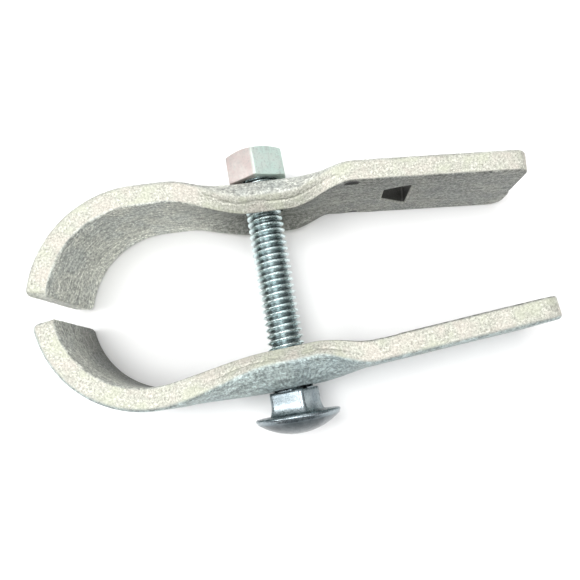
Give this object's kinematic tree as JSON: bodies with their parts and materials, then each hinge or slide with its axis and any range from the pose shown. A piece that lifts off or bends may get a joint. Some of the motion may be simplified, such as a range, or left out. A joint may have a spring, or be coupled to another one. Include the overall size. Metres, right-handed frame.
{
  "type": "two-half pipe clamp",
  "caption": "Two-half pipe clamp bent from flat strap, with a round jaw, crimped waists and slotted flat tails, drawn together by a square-neck bolt and nut.",
  "frame": {"origin": "middle of the bounding box in X and Y, at its lowest Z, which is the plane of the strap edges the clamp lies on", "axes": "+X from the jaw to the tails, +Y along the bolt from its head to its nut, +Z across the strap, along the axis of the tube in the jaw"},
  "size_m": [0.1072, 0.0624, 0.0236],
  "materials": {
    "strap_zinc": "hot-dip galvanised, mottled grey faces, paler sheared edges",
    "bolt_zinc": "bright zinc plate, cool tint",
    "nut_zinc": "zinc plate, satin"
  },
  "bodies": {
    "head_half": {"head_side_strap": "strap_zinc"},
    "bolt": {"carriage_bolt": "bolt_zinc"},
    "nut_half": {"nut_side_strap": "strap_zinc"},
    "nut": {"hex_nut": "nut_zinc"}
  },
  "joints": [
    {"name": "bolt_turn", "type": "hinge", "parent": "head_half", "child": "bolt", "pos_m": [-0.00285, 0, 0.01182], "axis": [0, 1, 0], "continuous": true},
    {"name": "nut_half_slide", "type": "slide", "parent": "bolt", "child": "nut_half", "axis": [0, 1, 0], "range_m": [-0.0044, 0]},
    {"name": "nut_turn", "type": "hinge", "parent": "nut_half", "child": "nut", "pos_m": [-0.00285, 0, 0.01182], "axis": [0, 1, 0], "range_deg": [-1150, 0]}
  ],
  "couplings": [
    {"joint": "nut_turn", "follows": "nut_half_slide", "rad_per_m": 4452.6}
  ]
}
